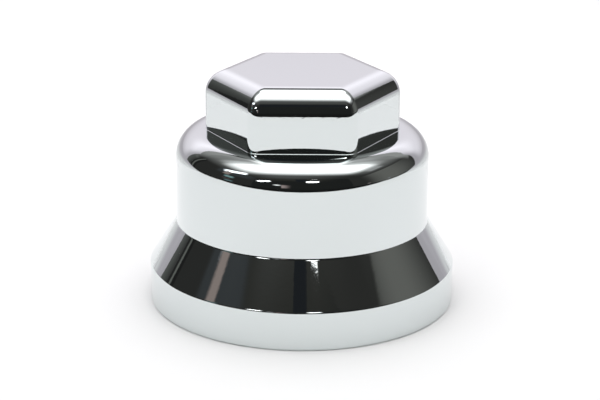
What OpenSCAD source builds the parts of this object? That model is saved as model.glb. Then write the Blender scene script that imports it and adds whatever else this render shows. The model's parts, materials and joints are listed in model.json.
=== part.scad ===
// Push-on cap for a truck wheel nut, moulded in one piece.
// It stands on the rim of its flange. The Z axis is the axis of the nut and
// the origin is the centre of the rim, at the height of the wheel's face.

/* [Wheel nut] */
// Width of the covered nut across its flats
nut_af = 33; // [32:0.5:35]
// Gap between the nut's corners and the inside of the body
nut_corner_gap = 1.15; // [0.8:0.05:2]
// Diameter of the nut's loose collar
collar_d = 48; // [47:0.5:52]
// Gap between the collar and the inside of the flange
collar_gap = 1; // [0.5:0.1:2]

/* [Shell] */
// Thickness of the moulded wall
wall = 2; // [1.6:0.1:2.4]
// Radius of the rim's outer edge
rim_edge_r = 0.4; // [0.2:0.1:0.8]

/* [Flange] */
// Height of the straight band at the foot
band_h = 6.8; // [5:0.1:10]
// Height of the flare between the band and the body
flare_h = 7.8; // [6:0.1:12]

/* [Body] */
// Height of the body, from the flare to the top of the shoulder
body_h = 16.2; // [14:0.1:24]
// Radius of the rounded shoulder
shoulder_r = 4.6; // [3:0.1:5]

/* [Hex head] */
// Width of the head across its flats
head_af = 30; // [28:0.5:31]
// Height of the head above the shoulder
head_h = 10.7; // [8:0.1:16]
// Radius of the edges round the top face
crown_r = 4.2; // [3:0.1:5]
// Radius of the upright corners
corner_r = 2.4; // [1:0.1:3]

/* [Grip ribs] */
// Thickness of a rib
rib_t = 1.6; // [1.2:0.1:2.4]
// Distance between the two ribs that bear on one flat of the nut
rib_pitch = 11; // [8:0.5:13]
// How far the ribs reach past the nut's flats, to grip them
rib_grip = 0.1; // [0:0.05:0.3]
// Height above the flare at which the ribs reach their full depth
rib_lead = 2.5; // [1:0.5:5]

/* [Hidden] */
$fn = 96;

flats = 6;
flat_turn = 360 / flats;

body_r = nut_af / 2 / cos(flat_turn / 2) + nut_corner_gap + wall;
flange_r = collar_d / 2 + collar_gap + wall;

flare_top_z = band_h + flare_h;
shoulder_z = flare_top_z + body_h;
top_z = shoulder_z + head_h;

// Sideways run of the flare for each millimetre of its height
flare_slope = (flange_r - body_r) / flare_h;
// Drop of the flare's two bends for each millimetre of inset, so that the wall stays even
bend_drop = (sqrt(1 + flare_slope * flare_slope) - 1) / flare_slope;

// Smallest radius left on an inside corner of the mould
inner_corner_r = 0.4;
// Length by which a cutter passes the surface that it cuts
overrun = 1;

rib_crest = nut_af / 2 - rib_grip;

// Corner of a square beyond the arc that rounds it, with the arc's centre at the origin
module spandrel(r) {
  difference() {
    square(r + overrun);
    circle(r);
  }
}

// Half section of flange, flare and body, moved inward by inset, from floor_z to the shoulder
module skirt_section(inset, floor_z) {
  foot_r = flange_r - inset;
  side_r = body_r - inset;
  roof_z = shoulder_z - inset;
  bend_r = shoulder_r - inset;
  difference() {
    polygon([
      [0, floor_z],
      [foot_r, floor_z],
      [foot_r, band_h - inset * bend_drop],
      [side_r, flare_top_z - inset * bend_drop],
      [side_r, roof_z],
      [0, roof_z]
    ]);
    translate([side_r - bend_r, roof_z - bend_r])
      spandrel(bend_r);
  }
}

// Hexagon with one flat towards -Y and round corners
module hexagon(af, r) {
  tip_r = af / 2 / cos(flat_turn / 2);
  centre_r = tip_r - r / cos(flat_turn / 2);
  difference() {
    circle(tip_r, $fn = flats);
    for (i = [0 : flats - 1])
      rotate(i * flat_turn)
        translate([centre_r, 0])
          difference() {
            polygon([[0, 0], [2 * r, 2 * r * tan(flat_turn / 2)], [2 * r, -2 * r * tan(flat_turn / 2)]]);
            circle(r);
          }
  }
}

// Slab across two opposite flats, with its top edges rounded
module crowned_slab(af, floor_z, roof_z, r) {
  rotate([90, 0, 90])
    linear_extrude(2 * af, center = true)
      difference() {
        translate([-af / 2, floor_z])
          square([af, roof_z - floor_z]);
        for (side = [0, 1])
          mirror([side, 0])
            translate([af / 2 - r, roof_z - r])
              spandrel(r);
      }
}

// Hexagonal head, moved inward by inset: three slabs cross, so their round edges meet in mitres
module head(inset) {
  af = head_af - 2 * inset;
  floor_z = flare_top_z;
  roof_z = top_z - inset;
  intersection() {
    translate([0, 0, floor_z])
      linear_extrude(roof_z - floor_z)
        hexagon(af, max(corner_r - inset, inner_corner_r));
    crossed_slabs(af, floor_z, roof_z, crown_r - inset);
  }
}

// The part that the three slabs have in common
module crossed_slabs(af, floor_z, roof_z, r) {
  intersection_for(i = [0 : flats / 2 - 1])
    rotate(i * flat_turn)
      crowned_slab(af, floor_z, roof_z, r);
}

// Outside of the cap as a solid
module outside() {
  difference() {
    rotate_extrude()
      skirt_section(0, 0);
    rim_edge_cutter();
  }
  head(0);
}

// Ring that rounds the rim's outer edge
module rim_edge_cutter() {
  rotate_extrude()
    translate([flange_r - rim_edge_r, rim_edge_r])
      mirror([0, 1])
        spandrel(rim_edge_r);
}

// Space inside the cap
module inside() {
  rotate_extrude()
    skirt_section(wall, -overrun);
  head(wall);
}

// Two ribs that bear on the nut's flat towards -Y, with a sloping lead-in below
module rib_pair() {
  lead_z = flare_top_z + rib_lead;
  depth = body_r - rib_crest;
  for (side = [-1, 1])
    translate([side * rib_pitch / 2 + rib_t / 2, 0, 0])
      rotate([90, 0, -90])
        linear_extrude(rib_t)
          polygon([
            [rib_crest, lead_z],
            [rib_crest + depth, lead_z - depth],
            [rib_crest + depth, shoulder_z],
            [rib_crest, shoulder_z]
          ]);
}

// The ribs on all flats, rooted in the middle of the wall
module grip_ribs() {
  intersection() {
    rotate_extrude()
      skirt_section(wall / 2, 0);
    for (i = [0 : flats - 1])
      rotate(i * flat_turn)
        rib_pair();
  }
}

module nut_cap() {
  color("silver") {
    difference() {
      outside();
      inside();
    }
    grip_ribs();
  }
}

nut_cap();
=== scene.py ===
"""Looks of the lug nut cap: bright chrome plating on a moulded shell, in a small photo studio.

Lengths are in metres. The cap stands at the origin and its photograph is taken from -Y."""

import json
import math

import bmesh
import bpy
from mathutils import Matrix, Vector
from mathutils.kdtree import KDTree

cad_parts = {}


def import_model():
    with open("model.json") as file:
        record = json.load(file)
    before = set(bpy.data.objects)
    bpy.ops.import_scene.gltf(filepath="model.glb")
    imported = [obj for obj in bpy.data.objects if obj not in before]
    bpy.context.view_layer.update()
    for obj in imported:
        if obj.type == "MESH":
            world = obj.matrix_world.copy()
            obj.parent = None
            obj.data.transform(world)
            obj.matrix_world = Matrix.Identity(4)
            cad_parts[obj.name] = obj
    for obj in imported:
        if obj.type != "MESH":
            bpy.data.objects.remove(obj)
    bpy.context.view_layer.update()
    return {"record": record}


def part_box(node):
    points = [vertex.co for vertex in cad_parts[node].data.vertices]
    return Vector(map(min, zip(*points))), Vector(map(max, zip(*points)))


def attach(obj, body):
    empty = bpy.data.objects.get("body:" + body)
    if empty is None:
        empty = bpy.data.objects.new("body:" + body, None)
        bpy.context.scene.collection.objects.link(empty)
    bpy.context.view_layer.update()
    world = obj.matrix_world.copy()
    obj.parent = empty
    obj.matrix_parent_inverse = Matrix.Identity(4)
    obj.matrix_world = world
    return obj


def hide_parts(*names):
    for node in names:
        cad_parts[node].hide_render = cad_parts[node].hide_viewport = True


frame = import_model()

MM = 0.001
NODE = "nut_cap"

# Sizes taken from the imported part
_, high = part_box(NODE)
collar_bore = next(m for m in frame["record"]["mounts"] if m["name"] == "collar_bore")
flange_r = high.x
top_z = high.z
wall = flange_r - collar_bore["dims"]["r_mm"] * MM

# Driving sizes of the part
nut_af = 33 * MM
nut_corner_gap = 1.15 * MM
band_h = 6.8 * MM
flare_h = 7.8 * MM
body_h = 16.2 * MM
shoulder_r = 4.6 * MM
head_af = 30 * MM
crown_r = 4.2 * MM
corner_r = 2.4 * MM
rim_edge_r = 0.4 * MM
rib_t = 1.6 * MM
rib_pitch = 11 * MM
rib_grip = 0.1 * MM
rib_lead = 2.5 * MM

# Small radii on edges that the moulding tool leaves slightly soft
bend_r = 0.8 * MM
cove_r = 0.1 * MM
inner_edge_r = 0.4 * MM
rib_edge_r = 0.2 * MM

# Camera, from the outlines in the photograph
CAMERA_TARGET = Vector((-0.014, 0, 0.650)) * flange_r
CAMERA_DISTANCE = 13 * flange_r
CAMERA_TILT = math.radians(18.94)
CAMERA_ROLL = math.radians(0.33)
FOCAL_PIXELS = 1978
PICTURE_WIDTH = 600
SENSOR_WIDTH_MM = 36

# Colours of the studio
WHITE = (1, 1, 1)
WARM_WHITE = (1, 1, 0.94)
COOL_WHITE = (0.85, 0.95, 1.1)
TENT_COLOUR = (1, 1, 0.98)
LAVENDER = (1.125, 1.06, 1.14)
BENCH_COLOUR = (0.95, 1.0, 0.95)
PAPER_COLOUR = (0.95, 0.95, 0.95, 1)

# Sizes of the studio
SQUARE = [(-1, -1), (1, -1), (1, 1), (-1, 1)]
STUDIO_MIDDLE = 0.025
PAPER_FRONT = -0.141
PAPER_LEFT = 0.46
PAPER_RIGHT = 0.50
SWEEP_HALF = 0.39
SWEEP_FRONT = 0.06
BACKDROP_TALL = 0.312
LAMP_R = 1.1
ROOM_HALF = 1.5
ROOM_HEIGHT = 1.4
BENCH_Z = 0.0002

# Shares of a card over which its light dies away towards the left, right, lower and upper edge
EVEN = (0, 0, 0, 0)
SOFT = (0.3, 0.3, 0.3, 0.3)

# The head's hexagon
FLATS = 6
TURN = 2 * math.pi / FLATS
HALF = TURN / 2
FIRST_FLAT = -math.pi / 2

# Sizes that follow from the driving ones
body_r = nut_af / 2 / math.cos(HALF) + nut_corner_gap + wall
flare_top_z = band_h + flare_h
shoulder_z = flare_top_z + body_h
flare_slope = (flange_r - body_r) / flare_h
bend_drop = wall * (math.hypot(1, flare_slope) - 1) / flare_slope

# Fineness of the mesh
FLAT_STEPS = 24
CORNER_STEPS = 16
CROWN_STEPS = 30
COVE_STEPS = 8
LEVEL_STEPS = 6
RIB_ARC_STEPS = 2
RIB_EDGE_STEPS = 3
ARC_STEP = math.radians(3)
SHARP = math.radians(35)
SAME_DIRECTION = 1e-6
COLUMNS = [
    (k, kind, i / steps)
    for k in range(FLATS)
    for kind, steps in (("flat", FLAT_STEPS), ("corner", CORNER_STEPS))
    for i in range(steps)
]


def unit(azimuth, elevation):
    """Direction with that azimuth from +X and that elevation, both in radians."""
    flat = math.cos(elevation)
    return Vector((flat * math.cos(azimuth), flat * math.sin(azimuth), math.sin(elevation)))


def hex_ring(centre_r, z, ball_r, elevation, facing=1):
    """Ring of points and normals round the hexagon. A ball of radius ball_r rolls along a hexagon
    whose corners lie centre_r from the axis, and touches the surface at that elevation."""
    ring = []
    for k, kind, u in COLUMNS:
        azimuth = FIRST_FLAT + k * TURN
        normal = unit(azimuth, elevation)
        if kind == "flat":
            start = unit(azimuth - HALF, 0) * centre_r
            end = unit(azimuth + HALF, 0) * centre_r
            centre = start.lerp(end, u)
        else:
            centre = unit(azimuth + HALF, 0) * centre_r
            following = unit(azimuth + TURN, elevation)
            if normal.angle(following) > SAME_DIRECTION:
                normal = normal.slerp(following, u)
        centre = Vector((centre.x, centre.y, z))
        ring.append((centre + normal * ball_r, normal * facing))
    return ring


def round_ring(azimuths, r, z, normal_r, normal_z):
    """Ring of points and normals round the axis, with one point for each column's azimuth."""
    ring = []
    for a in azimuths:
        outward = Vector((math.cos(a), math.sin(a), 0))
        ring.append((outward * r + Vector((0, 0, z)), outward * normal_r + Vector((0, 0, normal_z))))
    return ring


def rounded_path(corners):
    """Follows the corners (r, z, radius) and rounds each by its radius. Gives (r, z, normal_r, normal_z);
    the surface faces to the right of the way that the path goes."""
    points = [Vector(c[:2]) for c in corners]
    stations = []
    for i, (_, _, radius) in enumerate(corners):
        here = points[i]
        if 0 < i < len(corners) - 1:
            before = (here - points[i - 1]).normalized()
            after = (points[i + 1] - here).normalized()
            bend = before.angle_signed(after)
            setback = radius * math.tan(abs(bend) / 2)
            start = here - before * setback
            side = 1 if bend > 0 else -1
            centre = start + Vector((before.y, -before.x)) * radius * side
            steps = max(2, math.ceil(abs(bend) / ARC_STEP))
            for step in range(steps + 1):
                turned = Vector((-before.y, before.x))
                turned.rotate(Matrix.Rotation(-bend * step / steps, 2))
                point = centre + turned * radius * side
                stations.append((point.x, point.y, -turned.x, -turned.y))
    return stations


def quarter(steps):
    """Elevations from level to upright."""
    return [math.pi / 2 * i / steps for i in range(steps + 1)]


def head_rings(inset, facing):
    """Rings from the foot of the hexagon's side to the edge of its top face, moved inward by inset."""
    apothem = head_af / 2 - inset
    round_r = crown_r - inset
    ball_r = max(corner_r - inset, inner_edge_r)
    roof_z = top_z - inset
    rings = []
    for elevation in quarter(CROWN_STEPS):
        reach = apothem - round_r + (round_r - ball_r) * math.cos(elevation)
        z = roof_z - round_r + (round_r - ball_r) * math.sin(elevation)
        rings.append(hex_ring(reach / math.cos(HALF), z, ball_r, elevation, facing))
    return rings


def foot_rings(inset, z, radius, facing):
    """Rings of the small round where the hexagon's side rises from a level face at height z."""
    apothem = head_af / 2 - inset
    ball_r = max(corner_r - inset, inner_edge_r)
    centre_r = (apothem - ball_r) / math.cos(HALF)
    rings = []
    for tilt in reversed(quarter(COVE_STEPS)):
        out = radius * (1 - math.cos(tilt))
        up = Vector((0, 0, z + radius * (1 - math.sin(tilt))))
        lift = Vector((0, 0, math.sin(tilt)))
        ring = hex_ring(centre_r, 0, ball_r + out, 0)
        rings.append([(p + up, (n * math.cos(tilt) + lift) * facing) for p, n in ring])
    return rings


def blend_rings(first, last):
    """Rings between two rings that lie in one level face."""
    rings = []
    for i in range(1, LEVEL_STEPS):
        u = i / LEVEL_STEPS
        rings.append([(a.lerp(b, u), m) for (a, m), (b, _) in zip(first, last)])
    return rings


def shell_rings():
    """All rings from the middle of the hollow's roof, down the inside, round the rim and up to the top."""
    base = hex_ring((head_af / 2 - corner_r) / math.cos(HALF), 0, corner_r, 0)
    azimuths = [math.atan2(p.y, p.x) for p, _ in base]
    side_r = body_r - wall
    roof_z = shoulder_z - wall
    outline = rounded_path(
        [
            (0, roof_z, 0),
            (side_r, roof_z, shoulder_r - wall),
            (side_r, flare_top_z - bend_drop, bend_r),
            (flange_r - wall, band_h - bend_drop, bend_r),
            (flange_r - wall, 0, rim_edge_r / 2),
            (flange_r, 0, rim_edge_r),
            (flange_r, band_h, bend_r),
            (body_r, flare_top_z, bend_r),
            (body_r, shoulder_z, shoulder_r),
            (0, shoulder_z, 0),
        ]
    )
    skirt = [round_ring(azimuths, *station) for station in outline]
    pocket = list(reversed(head_rings(wall, -1)))
    mouth = list(reversed(foot_rings(wall, roof_z, inner_edge_r, -1)))
    cove = foot_rings(0, shoulder_z, cove_r, 1)
    head = head_rings(0, 1)
    return (
        pocket
        + mouth
        + blend_rings(mouth[-1], skirt[0])
        + skirt
        + blend_rings(skirt[-1], cove[0])
        + cove
        + head
    )


def shell_mesh():
    """The closed skin of the shell, and a tree that finds each point with its true normal."""
    rings = shell_rings()
    count = len(COLUMNS)
    rim = min(range(len(rings)), key=lambda i: (rings[i][0][0].z, abs(rings[i][0][1].x)))
    points = [p for ring in rings for p, _ in ring]
    normals = [n for ring in rings for _, n in ring]
    faces = []
    inner = []
    for i in range(len(rings) - 1):
        for j in range(count):
            following = (j + 1) % count
            here, above = i * count, (i + 1) * count
            faces.append((here + j, here + following, above + following, above + j))
            inner.append(i < rim)
    for ring, z, facing in ((0, rings[0][0][0].z, -1), (len(rings) - 1, top_z, 1)):
        centre = len(points)
        points.append(Vector((0, 0, z)))
        normals.append(Vector((0, 0, facing)))
        start = ring * count
        for j in range(count):
            edge = (start + j, start + (j + 1) % count)
            faces.append((*edge, centre) if facing > 0 else (*reversed(edge), centre))
            inner.append(facing < 0)
    mesh = bpy.data.meshes.new("shell")
    mesh.from_pydata(points, [], faces)
    mesh.polygons.foreach_set("material_index", [int(flag) for flag in inner])
    mesh.update()
    tree = KDTree(len(points))
    for i, point in enumerate(points):
        tree.insert(point, i)
    tree.balance()
    return mesh, tree, normals


def rib_mesh():
    """All grip ribs, each rooted in the middle of the wall, with soft edges along the crest."""
    crest = nut_af / 2 - rib_grip
    lead_z = flare_top_z + rib_lead
    arc_r = shoulder_r - wall / 2
    roof_z = shoulder_z - wall / 2
    arc = [
        (body_r - shoulder_r + arc_r * math.cos(turn), shoulder_z - shoulder_r + arc_r * math.sin(turn))
        for turn in quarter(RIB_ARC_STEPS)
    ]
    section = [
        (crest, lead_z),
        (body_r, lead_z - (body_r - crest)),
        (body_r - wall / 2, flare_top_z),
        *arc,
        (crest, roof_z),
    ]
    bm = bmesh.new()
    for k in range(FLATS):
        towards = unit(FIRST_FLAT + k * TURN, 0)
        along = Vector((-towards.y, towards.x, 0))
        for side in (-1, 1):
            ends = []
            for edge in (-0.5, 0.5):
                offset = along * (side * rib_pitch / 2 + edge * rib_t)
                ends.append([bm.verts.new(towards * r + offset + Vector((0, 0, z))) for r, z in section])
            first, second = ends
            bm.faces.new(first)
            bm.faces.new(list(reversed(second)))
            for i in range(len(section)):
                j = (i + 1) % len(section)
                bm.faces.new((first[j], first[i], second[i], second[j]))
            crest_edges = [
                bm.edges.get((face[i], face[j])) for face in ends for i, j in ((0, 1), (0, len(section) - 1))
            ]
            bmesh.ops.bevel(
                bm, geom=crest_edges, offset=rib_edge_r, segments=RIB_EDGE_STEPS, affect="EDGES", profile=0.5
            )
    bmesh.ops.recalc_face_normals(bm, faces=bm.faces)
    for face in bm.faces:
        face.material_index = 1
    mesh = bpy.data.meshes.new("ribs")
    bm.to_mesh(mesh)
    bm.free()
    return mesh


def add(name, mesh):
    """New object with that mesh, in the scene."""
    obj = bpy.data.objects.new(name, mesh)
    bpy.context.scene.collection.objects.link(obj)
    return obj


def cap():
    """The whole moulding: shell and ribs made one solid, shaded with the shell's true normals."""
    skin, tree, normals = shell_mesh()
    shell = add("cap_moulding", skin)
    ribs = add("ribs", rib_mesh())
    union = shell.modifiers.new("ribs", "BOOLEAN")
    union.operation = "UNION"
    union.solver = "EXACT"
    union.object = ribs
    depsgraph = bpy.context.evaluated_depsgraph_get()
    mesh = bpy.data.meshes.new_from_object(shell.evaluated_get(depsgraph))
    shell.modifiers.clear()
    shell.data = mesh
    bpy.data.objects.remove(ribs)
    set_normals(mesh, tree, normals)
    return shell


def set_normals(mesh, tree, normals):
    """Outside faces take the true normals; inside ones are smoothed up to a sharp angle."""
    mesh.shade_smooth()
    mesh.set_sharp_from_angle(angle=SHARP)
    corners = [Vector(n.vector) for n in mesh.corner_normals]
    for face in mesh.polygons:
        if face.material_index == 0:
            for loop in face.loop_indices:
                point = mesh.vertices[mesh.loops[loop].vertex_index].co
                corners[loop] = normals[tree.find(point)[1]].normalized()
    mesh.normals_split_custom_set(corners)


class Nodes:
    """Short way to wire up a node tree."""

    def __init__(self, tree):
        self.tree = tree
        tree.nodes.clear()

    def add(self, kind, values=None, **settings):
        node = self.tree.nodes.new(kind)
        for name, value in settings.items():
            setattr(node, name, value)
        for socket, value in (values or {}).items():
            if isinstance(value, bpy.types.NodeSocket):
                self.tree.links.new(value, node.inputs[socket])
            else:
                node.inputs[socket].default_value = value
        return node

    def math(self, operation, a, b):
        return self.add("ShaderNodeMath", {0: a, 1: b}, operation=operation).outputs[0]


def chrome(name, colour, roughness, ripple, ripple_size):
    """Chrome plating with the faint unevenness of the moulding under it: waves ripple high and about
    ripple_size apart."""
    material = bpy.data.materials.new(name)
    material.use_nodes = True
    tree = Nodes(material.node_tree)
    place = tree.add("ShaderNodeTexCoord").outputs["Object"]
    waves = tree.add(
        "ShaderNodeTexNoise", {"Vector": place, "Scale": 1 / ripple_size, "Detail": 2.0, "Roughness": 0.5}
    )
    bump = tree.add(
        "ShaderNodeBump", {"Height": waves.outputs["Fac"], "Strength": 1.0, "Distance": ripple}
    )
    surface = tree.add(
        "ShaderNodeBsdfPrincipled",
        {"Base Color": (*colour, 1), "Metallic": 1.0, "Roughness": roughness, "Normal": bump.outputs[0]},
    )
    tree.add("ShaderNodeOutputMaterial", {"Surface": surface.outputs[0]})
    return material


def glow(name, colour, strength, fades=EVEN):
    """Light of one colour for a card, which dies away towards its edges as fades says."""
    material = bpy.data.materials.new(name)
    material.use_nodes = True
    tree = Nodes(material.node_tree)
    light = tree.add("ShaderNodeEmission", {"Color": (*colour, 1), "Strength": strength}).outputs[0]
    if any(fades):
        place = tree.add("ShaderNodeUVMap").outputs[0]
        split = tree.add("ShaderNodeSeparateXYZ", {0: place}).outputs
        left, right = split[0], tree.math("SUBTRACT", 1.0, split[0])
        lower, upper = split[1], tree.math("SUBTRACT", 1.0, split[1])
        share = 1.0
        for inward, fade in zip((left, right, lower, upper), fades):
            if fade:
                part = tree.add(
                    "ShaderNodeMapRange",
                    {"Value": inward, "From Min": 0.0, "From Max": fade},
                    interpolation_type="SMOOTHSTEP",
                ).outputs[0]
                share = tree.math("MULTIPLY", part, share)
        clear = tree.add("ShaderNodeBsdfTransparent").outputs[0]
        light = tree.add("ShaderNodeMixShader", {0: share, 1: clear, 2: light}).outputs[0]
    tree.add("ShaderNodeOutputMaterial", {"Surface": light})
    return material


def card(name, corner, along, up, material):
    """Flat card of the studio from its lower left corner, seen in the chrome but not by the camera."""
    corner, along, up = Vector(corner), Vector(along), Vector(up)
    mesh = bpy.data.meshes.new(name)
    mesh.from_pydata([corner, corner + along, corner + along + up, corner + up], [], [(0, 1, 2, 3)])
    uv = mesh.uv_layers.new(name="card")
    for i, place in enumerate(((0, 0), (1, 0), (1, 1), (0, 1))):
        uv.data[i].uv = place
    mesh.materials.append(material)
    obj = add(name, mesh)
    obj.visible_camera = False
    obj.visible_shadow = False
    return obj


def panel(name, corner, wide, up, colour, strength, fades=EVEN):
    """Glowing card whose lower edge runs level to the right, and whose sides run along up."""
    return card(name, corner, (wide, 0, 0), up, glow(name, colour, strength, fades))


def lamp(name, azimuth, elevation, width, height, colour, strength, fades=SOFT, roll=0, away=LAMP_R):
    """Glowing card far away, facing the cap. Angles are in degrees: azimuth 0 is the camera's side and grows
    to its right, and width and height are the angles that the card takes up."""
    a, e = math.radians(azimuth), math.radians(elevation)
    out = Vector((math.sin(a) * math.cos(e), -math.cos(a) * math.cos(e), math.sin(e)))
    along = Vector((math.cos(a), math.sin(a), 0))
    up = out.cross(along)
    turn = Matrix.Rotation(math.radians(roll), 3, out)
    along = turn @ along * 2 * away * math.tan(math.radians(width / 2))
    up = turn @ up * 2 * away * math.tan(math.radians(height / 2))
    corner = Vector((0, 0, STUDIO_MIDDLE)) + out * away - along / 2 - up / 2
    return card(name, corner, along, up, glow(name, colour, strength, fades))


def floor():
    """White paper under the cap, which ends in front of it. Past its edge the chrome sees a dark bench."""
    mesh = bpy.data.meshes.new("floor")
    mesh.from_pydata([(x * ROOM_HALF, y * ROOM_HALF, 0) for x, y in SQUARE], [], [(0, 1, 2, 3)])
    obj = add("floor", mesh)
    material = bpy.data.materials.new("paper")
    material.use_nodes = True
    tree = Nodes(material.node_tree)
    surface = tree.add("ShaderNodeBsdfPrincipled", {"Base Color": PAPER_COLOUR, "Roughness": 0.9})
    tree.add("ShaderNodeOutputMaterial", {"Surface": surface.outputs[0]})
    mesh.materials.append(material)
    ahead = ROOM_HALF + PAPER_FRONT
    behind = ROOM_HALF - PAPER_FRONT
    bench = glow("bench", BENCH_COLOUR, 0.012)
    for name, x, y, wide, deep in (
        ("bench_front", -ROOM_HALF, -ROOM_HALF, 2 * ROOM_HALF, ahead),
        ("bench_left", -ROOM_HALF, PAPER_FRONT, ROOM_HALF - PAPER_LEFT, behind),
        ("bench_right", PAPER_RIGHT, PAPER_FRONT, ROOM_HALF - PAPER_RIGHT, behind),
    ):
        card(name, (x, y, BENCH_Z), (wide, 0, 0), (0, deep, 0), bench).visible_diffuse = False


def world():
    """Plain white background, which only the camera sees: the room's walls hide it from everything else."""
    background = bpy.data.worlds.new("studio")
    bpy.context.scene.world = background
    background.use_nodes = True
    tree = Nodes(background.node_tree)
    white = tree.add("ShaderNodeBackground", {"Color": (1, 1, 1, 1), "Strength": 1.0})
    tree.add("ShaderNodeOutputWorld", {"Surface": white.outputs[0]})


def room():
    """Dim walls and ceiling round the studio."""
    half, tall = ROOM_HALF, ROOM_HEIGHT
    walls = {
        "wall_front": ((half, -half, 0), (-2 * half, 0, 0), (0, 0, tall), (0.95, 1.0, 0.97), 0.018),
        "wall_left": ((-half, -half, 0), (0, 2 * half, 0), (0, 0, tall), (1.0, 1.0, 0.96), 0.028),
        "wall_right": ((half, half, 0), (0, -2 * half, 0), (0, 0, tall), WARM_WHITE, 0.03),
        "wall_back": ((-half, half, 0), (2 * half, 0, 0), (0, 0, tall), WARM_WHITE, 0.03),
        "ceiling": ((-half, -half, tall), (2 * half, 0, 0), (0, 2 * half, 0), WARM_WHITE, 0.03),
    }
    for name, (corner, along, up, colour, strength) in walls.items():
        card(name, corner, along, up, glow(name, colour, strength)).visible_shadow = True


def tent():
    """Pale tent: a softbox in its roof, its back wall, and the light that the chrome doesn't see. Where
    cards overlap, the cap sees the lowest one first."""
    panel("tent_roof", (-0.95, -0.50, 0.61), 1.90, (0, 1.40, 0), TENT_COLOUR, 0.26, (0.4, 0.35, 0.25, 0))
    panel("tent_front", (-0.66, -0.74, 0.605), 1.26, (0, 0.46, 0), TENT_COLOUR, 0.1, (0.35, 0.6, 0.7, 0.1))
    panel("tent_flap", (-0.70, -0.95, 0.62), 1.30, (0, 0.55, 0), (1, 1, 0.9), 0.03, (0.1, 0.35, 0.2, 0))
    panel("softbox", (-0.68, -0.405, 0.6), 1.255, (0, 0.585, 0), WHITE, 2.5, (0.38, 0.215, 0.57, 0.24))
    panel("softbox_middle", (-0.20, 0.02, 0.598), 0.39, (0, 0.40, 0), WHITE, 2.2, (0.2, 0.2, 0.2, 0.35))
    panel("softbox_rear", (-0.62, 0.05, 0.603), 1.22, (0, 0.25, 0), WHITE, 0.75, (0.3, 0.3, 0.2, 0.5))
    panel("softbox_tail", (0.50, -0.22, 0.602), 0.22, (0, 0.34, 0), WHITE, 0.37, (0.2, 0.4, 0.3, 0.3))
    panel("roof_rear", (-0.36, 0.20, 0.604), 0.78, (0, 0.25, 0), WHITE, 0.48, (0.35, 0.3, 0.3, 0.12))
    panel("overhead", (-0.60, -0.62, 0.58), 1.20, (0, 1.10, 0), WHITE, 1.5).visible_glossy = False
    panel("back_wall", (-0.85, 0.45, 0.33), 1.70, (0, 0, 0.70), TENT_COLOUR, 0.36, (0.35, 0.2, 0.1, 0))
    panel("back_gap", (-0.20, 0.445, 0.42), 0.38, (0, 0, 0.19), TENT_COLOUR, 0.035, (0.12, 0.15, 0.3, 0.15))
    panel("dark_post", (-0.085, -0.95, 0.59), 0.147, (0, 0.335, 0), COOL_WHITE, 0.018, (0.03, 0.15, 0, 0.1))
    panel("spot", (0.098, -0.646, 0.588), 0.082, (0, 0.010, 0), WHITE, 1.8, (0.1, 0.1, 0.3, 0.1))


def backdrop():
    """Lavender cards behind the cap, brightest in their upper half, and the paper's sweep up to them."""
    for name, z, up, colour, strength, fades in (
        ("sweep", 0.0006, (0, 0.237, 0.05), LAVENDER, 0.45, (0, 0, 0.25, 0)),
        ("sweep_foot", 0.0016, (0, 0.0995, 0.021), (1, 1, 1.01), 0.79, (0, 0, 0.35, 0.9)),
    ):
        corner = (-SWEEP_HALF, SWEEP_FRONT, z)
        panel(name, corner, 2 * SWEEP_HALF, up, colour, strength, fades).visible_diffuse = False
    tall = BACKDROP_TALL
    panel("backdrop", (-0.434, 0.30, 0), 0.75, (0.04, 0, tall), LAVENDER, 0.43)
    panel("backdrop_side", (0.30, 0.304, 0), 0.271, (-0.202, 0, tall), LAVENDER, 0.42)
    panel("backdrop_light", (-0.41, 0.298, 0), 0.82, (0, 0, tall), LAVENDER, 0.85, (0.2, 0.2, 0.45, 0))
    panel("backdrop_top", (-0.40, 0.296, 0.13), 0.80, (0, 0, 0.20), LAVENDER, 1.2, (0.35, 0.45, 0.5, 0.6))


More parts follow.
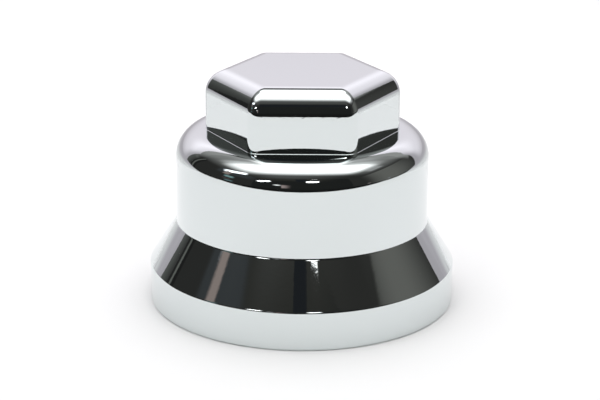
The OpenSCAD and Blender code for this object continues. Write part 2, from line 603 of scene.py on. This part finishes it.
def surroundings():
    """Window, lamps and what stands about in the room. What is further away lies behind the rest."""
    lamp("window", -71.5, 36.3, 24, 9.5, (0.97, 1, 1.05), 3, (0.25, 0.15, 0.3, 0.3), roll=25)
    lamp("lamp_left", -36, 25, 14, 4.5, WHITE, 12, roll=30)
    lamp("lamp_low", -22.5, 14.5, 9, 6, WHITE, 1.5, (0.45, 0.45, 0.45, 0.45))
    lamp("lamp_middle", 9.8, 31, 12, 6, WHITE, 12)
    lamp("stand_panel", -121, 10, 14.2, 36, (0.99, 1.02, 0.97), 0.11, (0, 1, 0, 0.15), away=1.12)
    lamp("stand_gap", -117.35, 12, 1.9, 40, WHITE, 0.02, EVEN)
    lamp("stand_tube", -114.9, 12, 2.8, 40, (0.99, 1.03, 0.95), 0.14, (0.35, 0.35, 0, 0))
    lamp("stand_shade", -111.8, 12, 3.8, 40, WHITE, 0.015, (0, 0.5, 0, 0))
    wall_light = glow("side_wall", (1, 1, 0.95), 0.058, (0.14, 0.3, 0, 0.1))
    card("side_wall", (1.35, -0.75, 0), (0, 1.9, 0), (0, 0, 0.95), wall_light)
    lamp("cabinet_right", 89, 14.3, 64, 40.8, (1, 1, 0.93), 0.145, (0.42, 0.52, 0.1, 0.05))
    lamp("poster_pink", -75.3, 27.2, 9, 12.5, (1, 0.81, 0.75), 0.285, (0.35, 0.25, 0.1, 0.12))
    lamp("poster_halo", -66, 31, 44, 20, (0.92, 1, 1.06), 0.048, (0.12, 0.3, 0.3, 0.3), away=1.16)
    lamp("poster_teal", -69.5, 16.5, 13, 8, (0.62, 1, 1), 0.34)
    lamp("poster_rust", -71, 9, 12, 4, (1, 0.72, 0.7), 0.09)
    lamp("poster_low", -68, 3.5, 12, 6, (0.62, 0.95, 1), 0.18)
    lamp("post", -14, 10, 10, 17, (1, 0.8, 0.78), 0.38, (0.15, 0.9, 0.3, 0.3))
    lamp("glint_low", 60.5, 2, 5, 3, (1, 0.86, 0.84), 0.24)
    lamp("glint_right", 82, 2, 4, 3, (0.95, 0.97, 1.05), 0.27)


def camera():
    """Camera at the place that the outlines in the photograph give."""
    forward = Vector((0, math.cos(CAMERA_TILT), -math.sin(CAMERA_TILT)))
    right = Vector((1, 0, 0))
    up = right.cross(forward)
    rolled_right = right * math.cos(CAMERA_ROLL) + up * math.sin(CAMERA_ROLL)
    rolled_up = up * math.cos(CAMERA_ROLL) - right * math.sin(CAMERA_ROLL)
    data = bpy.data.cameras.new("camera")
    data.sensor_width = SENSOR_WIDTH_MM
    data.lens = SENSOR_WIDTH_MM * FOCAL_PIXELS / PICTURE_WIDTH
    data.clip_start = 0.01
    obj = bpy.data.objects.new("camera", data)
    bpy.context.scene.collection.objects.link(obj)
    axes = Matrix((rolled_right, rolled_up, -forward)).transposed()
    obj.matrix_world = Matrix.Translation(CAMERA_TARGET - forward * CAMERA_DISTANCE) @ axes.to_4x4()
    bpy.context.scene.camera = obj


camera()
world()
room()
floor()
tent()
backdrop()
surroundings()

moulding = cap()
moulding.data.materials.clear()
bright = chrome("chrome_outside", (0.695, 0.735, 0.735), 0.03, ripple=0.0025 * MM, ripple_size=0.9 * MM)
dull = chrome("chrome_inside", (0.6, 0.61, 0.61), 0.16, ripple=0.02 * MM, ripple_size=1.5 * MM)
moulding.data.materials.append(bright)
moulding.data.materials.append(dull)
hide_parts(NODE)
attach(moulding, "root")

bpy.context.scene.view_settings.view_transform = "Standard"
